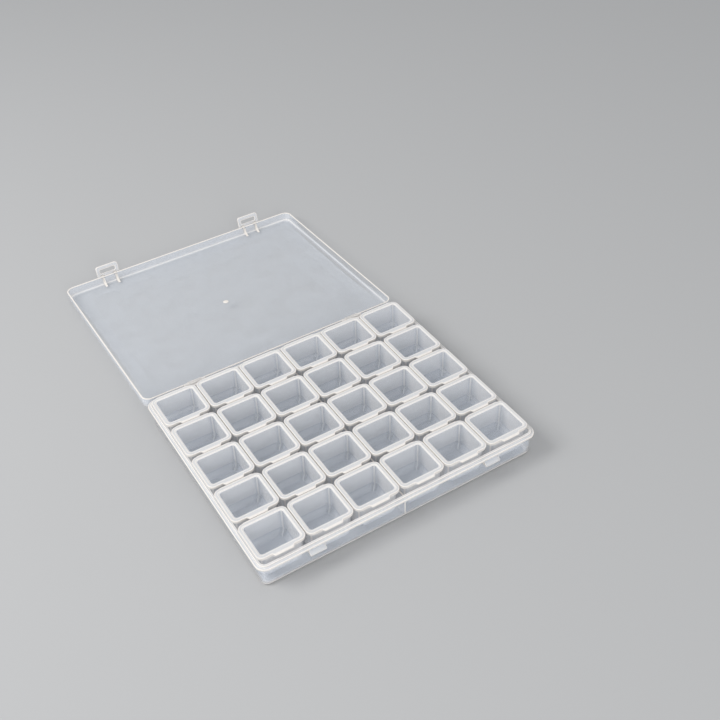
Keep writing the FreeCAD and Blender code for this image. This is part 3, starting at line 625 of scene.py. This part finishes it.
def lid_fittings():
    """The shut lid's knuckles with their webs behind, and in front the ears that hold the loops, with a
    rib inside the wall at each, all of them outlines carried along X."""
    knuckle = HINGE[1:] + snap_ring(PIN_R + PIN_PLAY, KNUCKLE_R, KNUCKLE_MOUTH, -np.pi / 2)
    back = HALF_Y - LID_INSET - LID_WALL / 2
    web = block((back, FLANGE_TOP + LID_SEAT), (HINGE[1] - PIN_R - PIN_PLAY, FLANGE_TOP + KNUCKLE_WEB))
    pivot = np.array([-LID_OUTSIDE[1] - LATCH_OUT, FLANGE_TOP + LATCH_UP])
    bore = LOOP_PIN_R + PIN_PLAY
    ear = pivot + snap_ring(bore, EAR_R, EAR_MOUTH, np.pi)
    root = pivot + block((bore, LID_SEAT - EAR_R), (LATCH_OUT + LID_WALL / 2, EAR_R))
    rib = rib_outline()
    parts = []
    for side in SIDES:
        place = side * LATCH_X
        for outline in (knuckle, web):
            parts.append(bar(outline, place - KNUCKLE_HALF, place + KNUCKLE_HALF, HINGE_MILK, SMALL_EDGE))
        for spot in (place - RIB_SPREAD, place + RIB_SPREAD):
            for outline in (ear, root):
                parts.append(bar(outline, spot - EAR_HALF, spot + EAR_HALF, EAR_MILK, SMALL_EDGE))
            parts.append(bar(rib, spot - RIB_HALF, spot + RIB_HALF, RIB_MILK, SMALL_EDGE))
    return parts


def gate_mark():
    """A low round dome under the middle of the lid's ceiling: round rings, each at a share of the
    dome's radius and at its own rise from the panel."""
    radius, rise = GATE_R * np.array(GATE_SHARES), np.array(GATE_RISE)
    milk = np.ones_like(radius)
    dome = np.stack([radius, radius, radius * GATE_CORNER_SHARE, LID_CEILING - rise, milk], -1)
    return moved(skin(rounded_rings(dome, (), ()), dome[:, 4:5]), (0, 0, FLANGE_TOP))


def loop_skins():
    """A latch loop that lies flat from its axle towards +Y: a slotted plate, whose section is a closed
    line carried round, the axle, and the webs between them that leave room for the ears. The slot is
    off the plate's middle, so the rings move along Y by a share that grows inwards."""
    thick = LOOP_THICK / 2
    half = np.array([LOOP_HALF, (LOOP_LONG - EAR_NOTCH_DEEP) / 2])
    slot = np.array([SLOT_HALF, (SLOT_FAR - SLOT_NEAR) / 2])
    corners = [(*half, LOOP_CORNER, -thick), (*half, LOOP_CORNER, thick), (*slot, SLOT_CORNER, thick),
               (*slot, SLOT_CORNER, -thick)]
    profile = moulded_profile(corners, LOOP_FLATS, LOOP_EDGES, LOOP_ROUNDING, LOOP_GLOW, closed=True)
    stations = (0.5,)
    rings = rounded_rings(profile, stations, stations)
    middle, slot_middle = (EAR_NOTCH_DEEP + LOOP_LONG) / 2, (SLOT_NEAR + SLOT_FAR) / 2
    inward = np.clip((LOOP_HALF - profile[:, :1]) / (LOOP_HALF - SLOT_HALF), 0, 1)
    rings[:, :, 1] += middle + inward * (slot_middle - middle)
    plate = skin(rings, ring_milk_and_painted_light(profile, stations, stations), wrap=True)
    axle_half = LOOP_HALF - AXLE_INSET
    axle = bar(circle_outline(LOOP_PIN_R, 20), -axle_half, axle_half, AXLE_MILK, AXLE_EDGE)
    web_face = thick - WEB_SINK
    middle_web = block((0, -web_face), ((EAR_NOTCH_DEEP + SLOT_NEAR) / 2, web_face))
    outer_web = block((0, -web_face), (EAR_NOTCH_DEEP + LOOP_CORNER, web_face))
    ear_side, ear_far = RIB_SPREAD - EAR_NOTCH_HALF, RIB_SPREAD + EAR_NOTCH_HALF
    return [plate, axle, bar(middle_web, -ear_side, ear_side, AXLE_MILK),
            bar(outer_web, ear_far, LOOP_HALF - WEB_SINK, AXLE_MILK),
            bar(outer_web, WEB_SINK - LOOP_HALF, -ear_far, AXLE_MILK)]


def cell_offset(row, column):
    """From the first cell to another one."""
    return np.array([(column - 1) * PITCH[0], (row - 1) * PITCH[1], 0.0])


def box_skin(sizes):
    """A small box in the first cell: its section runs from the middle of the underside up the outer
    wall, over the rim and down the inner wall to the inside floor."""
    rim = (BOX_HIGH - BOX_LOW)[:2] / 2
    top = BOX_HIGH[2] - BOX_LOW[2]
    corner, glow = sizes.box_corner * MM, sizes.edge_glow * MM
    outer, foot = sizes.body_corner * MM, sizes.body_foot * MM
    inner, inner_foot = outer - BOX_WALL, foot - BOX_WALL
    body_top, body_foot = rim - BODY_TOP_INSET, rim - BODY_FOOT_INSET
    middle, middle_corner = body_foot - FLOOR_BORDER, corner / 4
    corners = [(*middle, middle_corner, 0), (*body_foot, outer, 0), (*body_top, outer, top - BOX_RIM),
               (*rim, corner, top - BOX_RIM), (*rim, corner, top), (*body_top - BOX_WALL, inner, top),
               (*body_foot - BOX_WALL, inner, BOX_FLOOR), (*middle, middle_corner, BOX_FLOOR)]
    rounding = (foot, *BOX_ROUNDINGS, inner_foot)
    profile = moulded_profile(corners, BOX_FLATS, BOX_EDGES, rounding, glow, steps=6)
    rings = rounded_rings(profile, QUARTERS, QUARTERS)
    # Painted shade on the upright corner arcs with a painted glint line down their middle, and painted light
    # on the left and right walls
    milk = ring_milk_and_painted_light(profile, QUARTERS, QUARTERS, painted_corner_light=-0.6, painted_corner_glint=1.3, painted_side_light=0.25)
    centre = (BOX_LOW + BOX_HIGH) / 2
    return moved(skin(rings, milk), (centre[0], centre[1], BOX_LOW[2]))


def flip_lid_skin(sizes):
    """A flip lid over the first cell: a plate with a dropped clear window. Its front edge is pushed out
    to a thumb tab and its back edge to a hinge bead, each by its reach times a ramp of x."""
    thick = FLIP_HIGH[2] - FLIP_LOW[2]
    front, back = FLIP_LOW[1] + TAB_REACH, FLIP_HIGH[1] - BEAD_REACH
    edge = np.array([(FLIP_HIGH - FLIP_LOW)[0], back - front]) / 2
    corner, glow = sizes.box_corner * MM, sizes.edge_glow * MM
    band, drop = sizes.rim_band * MM, sizes.window_drop * MM
    window, middle = edge - band - drop, edge - WINDOW_BANDS * band
    sharp = corner - band
    corners = [(*middle, sharp / 2, drop), (*window, sharp, drop), (*edge - band, sharp, 0),
               (*edge, corner, 0), (*edge, corner, thick), (*edge - band, sharp, thick),
               (*window, sharp, thick - drop), (*middle, sharp / 2, thick - drop)]
    profile = moulded_profile(corners, FLIP_FLATS, FLIP_EDGES, FLIP_ROUNDINGS, glow)
    across = np.arange(1, 20) / 20
    rings = rounded_rings(profile, across, QUARTERS)
    x, y = rings[:, :, 0], rings[:, :, 1]
    outermost = np.clip((profile[:, 0] - edge[0] + band / 2) / (band / 2), 0, 1)[:, None]
    straight = edge[1] - corner / 2
    tab = np.where(y < -straight, outermost * ramp(x, TAB_TIP_HALF, TAB_ROOT_HALF), 0)
    bead = np.where(y > straight, outermost * ramp(x, BEAD_HALF, BEAD_HALF + BEAD_EASE), 0)
    rings[:, :, 1] = y - TAB_REACH * tab + BEAD_REACH * bead
    milk = ring_milk_and_painted_light(profile, across, QUARTERS)
    centre_x = (FLIP_LOW[0] + FLIP_HIGH[0]) / 2
    return moved(skin(rings, milk), (centre_x, (front + back) / 2, FLIP_LOW[2]))


class ORGANIZER_OT_tray(bpy.types.Operator):
    """Make the tray with its flange, lip, partition, catches and hinge pins"""

    bl_idname = "organizer.make_tray"
    bl_label = "Make tray"

    def execute(self, context):
        parts = [tray_shell(context.scene.organizer_sizes), *tray_fittings()]
        make_piece("tray_moulding", parts, plastic("tray plastic", flow=0.07), "tray")
        return {"FINISHED"}


class ORGANIZER_OT_case_lid(bpy.types.Operator):
    """Make the clear case lid with its knuckles, latch ears, ribs and gate mark"""

    bl_idname = "organizer.make_case_lid"
    bl_label = "Make case lid"

    def execute(self, context):
        shut = [lid_shell(context.scene.organizer_sizes), *lid_fittings(), gate_mark()]
        make_piece("case_lid_moulding", [laid_back(part) for part in shut],
                   plastic("case lid plastic", flow=0.12), "case_lid")
        return {"FINISHED"}


class ORGANIZER_OT_latch_loops(bpy.types.Operator):
    """Make the two slotted latch loops on the lid's front edge"""

    bl_idname = "organizer.make_latch_loops"
    bl_label = "Make latch loops"

    def execute(self, context):
        parts = loop_skins()
        for name in ("left", "right"):
            joint = JOINTS[f"latch_{name}_hinge"]
            lean = math.radians(joint["range_deg"][1]) - (SHUT_TURN - math.pi)
            c, s = math.cos(lean), math.sin(lean)
            turn = np.array([[1, 0, 0], [0, c, s], [0, -s, c]])
            pivot = np.array(joint["pos_m"]) * MM
            placed = [(points @ turn + pivot, quads, ends, milk) for points, quads, ends, milk in parts]
            make_piece(f"latch_loop_moulding_{name}", placed, plastic("loop plastic", flow=0.1),
                       f"latch_loop_{name}")
        return {"FINISHED"}


class ORGANIZER_OT_boxes(bpy.types.Operator):
    """Make the lift-out boxes, those of the back row joined by threes"""

    bl_idname = "organizer.make_boxes"
    bl_label = "Make boxes"

    def execute(self, context):
        form = box_skin(context.scene.organizer_sizes)
        half = COLUMNS // 2
        groups = {f"box_r{row}_c{column}": [(row, column)]
                  for row in range(1, ROWS) for column in range(1, COLUMNS + 1)}
        groups[f"boxes_r{ROWS}_left"] = [(ROWS, column) for column in range(1, half + 1)]
        groups[f"boxes_r{ROWS}_right"] = [(ROWS, column) for column in range(half + 1, COLUMNS + 1)]
        for node, cells in groups.items():
            skins = [moved(form, cell_offset(*cell)) for cell in cells]
            make_piece(f"{node}_moulding", skins, plastic("box plastic", flow=0.1), node)
        return {"FINISHED"}


class ORGANIZER_OT_flip_lids(bpy.types.Operator):
    """Make the flip lids with their clear windows and thumb tabs"""

    bl_idname = "organizer.make_flip_lids"
    bl_label = "Make flip lids"

    def execute(self, context):
        form = flip_lid_skin(context.scene.organizer_sizes)
        for row in range(1, ROWS + 1):
            for column in range(1, COLUMNS + 1):
                node = f"flip_lid_r{row}_c{column}"
                make_piece(f"{node}_moulding", [moved(form, cell_offset(row, column))],
                           plastic("flip lid plastic", flow=0.06), node)
        return {"FINISHED"}


def studio_floor(scene):
    """A wide plain square just under the object."""
    span, below = 4.0, 0.0005
    corners = [(-span, -span, -below), (span, -span, -below), (span, span, -below), (-span, span, -below)]
    mesh = bpy.data.meshes.new("floor")
    mesh.from_pydata(corners, [], [(0, 1, 2, 3)])
    floor = bpy.data.objects.new("floor", mesh)
    scene.collection.objects.link(floor)
    paint = bpy.data.materials.new("pale floor")
    paint.use_nodes = True
    shader = paint.node_tree.nodes["Principled BSDF"]
    shader.inputs["Base Color"].default_value = (*scene.organizer_finish.floor_colour, 1)
    shader.inputs["Roughness"].default_value = 0.9
    shader.inputs["Specular IOR Level"].default_value = 0.1
    mesh.materials.append(paint)


def soft_box(name, place, target, size, power):
    """A square lamp that points at a target."""
    lamp = bpy.data.lights.new(name, "AREA")
    lamp.size = size
    lamp.energy = power
    light = bpy.data.objects.new(name, lamp)
    light.location = place
    light.rotation_euler = (Vector(target) - Vector(place)).to_track_quat("-Z", "Y").to_euler()
    bpy.context.scene.collection.objects.link(light)


def studio_light(scene):
    """An even pale surround, a key lamp from the left and a weaker, wider one from the front."""
    world = bpy.data.worlds.new("studio")
    world.use_nodes = True
    sky = world.node_tree.nodes["Background"]
    sky.inputs["Color"].default_value = (0.96, 0.98, 1.0, 1)
    sky.inputs["Strength"].default_value = 0.66
    scene.world = world
    target = (0, 0.08, 0)
    soft_box("key softbox", place=(-1.0, 0.35, 1.1), target=target, size=0.7, power=13)
    soft_box("fill softbox", place=(-0.5, -2.2, 1.0), target=target, size=1.4, power=27)


def studio_camera(scene):
    """A camera from its eye point, its direction ahead and its direction to the right, made square."""
    eye = np.array([-0.2317, -0.4326, 0.4975])
    ahead = np.array([0.3797, 0.6513, -0.6569])
    right = np.array([0.8492, -0.5271, -0.0317])
    ahead /= np.linalg.norm(ahead)
    right -= ahead * np.dot(right, ahead)
    right /= np.linalg.norm(right)
    turn = Matrix(np.stack([right, np.cross(right, ahead), -ahead], 1).tolist()).to_4x4()
    lens = bpy.data.cameras.new("camera")
    lens.sensor_width = 36.0
    lens.lens = 49.88
    lens.clip_start = 0.01
    camera = bpy.data.objects.new("camera", lens)
    camera.matrix_world = Matrix.Translation(Vector(eye)) @ turn
    scene.collection.objects.link(camera)
    scene.camera = camera


class ORGANIZER_OT_stage(bpy.types.Operator):
    """Make the floor, the soft lights and the camera"""

    bl_idname = "organizer.make_stage"
    bl_label = "Make stage"

    def execute(self, context):
        scene = context.scene
        studio_floor(scene)
        studio_light(scene)
        studio_camera(scene)
        scene.view_settings.view_transform = "Standard"
        # A line of sight passes through many clear walls, one behind the other
        scene.cycles.transparent_max_bounces = 32
        return {"FINISHED"}


class ORGANIZER_PT_panel(bpy.types.Panel):
    """Lists the organizer's pieces and settings"""

    bl_idname = "ORGANIZER_PT_panel"
    bl_label = "Organizer"
    bl_space_type = "VIEW_3D"
    bl_region_type = "UI"
    bl_category = "Organizer"

    def draw(self, context):
        for operator in OPERATORS:
            self.layout.operator(operator.bl_idname)
        for group in (context.scene.organizer_sizes, context.scene.organizer_finish):
            for name in group.__annotations__:
                self.layout.prop(group, name)


OPERATORS = (ORGANIZER_OT_stage, ORGANIZER_OT_tray, ORGANIZER_OT_case_lid, ORGANIZER_OT_latch_loops,
             ORGANIZER_OT_boxes, ORGANIZER_OT_flip_lids)
CLASSES = (OrganizerSizes, OrganizerFinish, *OPERATORS, ORGANIZER_PT_panel)


def register():
    """Add the classes and the settings of the scene."""
    for cls in CLASSES:
        bpy.utils.register_class(cls)
    bpy.types.Scene.organizer_sizes = bpy.props.PointerProperty(type=OrganizerSizes)
    bpy.types.Scene.organizer_finish = bpy.props.PointerProperty(type=OrganizerFinish)


def unregister():
    """Take the settings and the classes away again."""
    del bpy.types.Scene.organizer_finish
    del bpy.types.Scene.organizer_sizes
    for cls in reversed(CLASSES):
        bpy.utils.unregister_class(cls)


def main():
    """Make the stage and every piece."""
    register()
    bpy.ops.organizer.make_stage()
    bpy.ops.organizer.make_tray()
    bpy.ops.organizer.make_case_lid()
    bpy.ops.organizer.make_latch_loops()
    bpy.ops.organizer.make_boxes()
    bpy.ops.organizer.make_flip_lids()


if __name__ == "__main__":
    main()
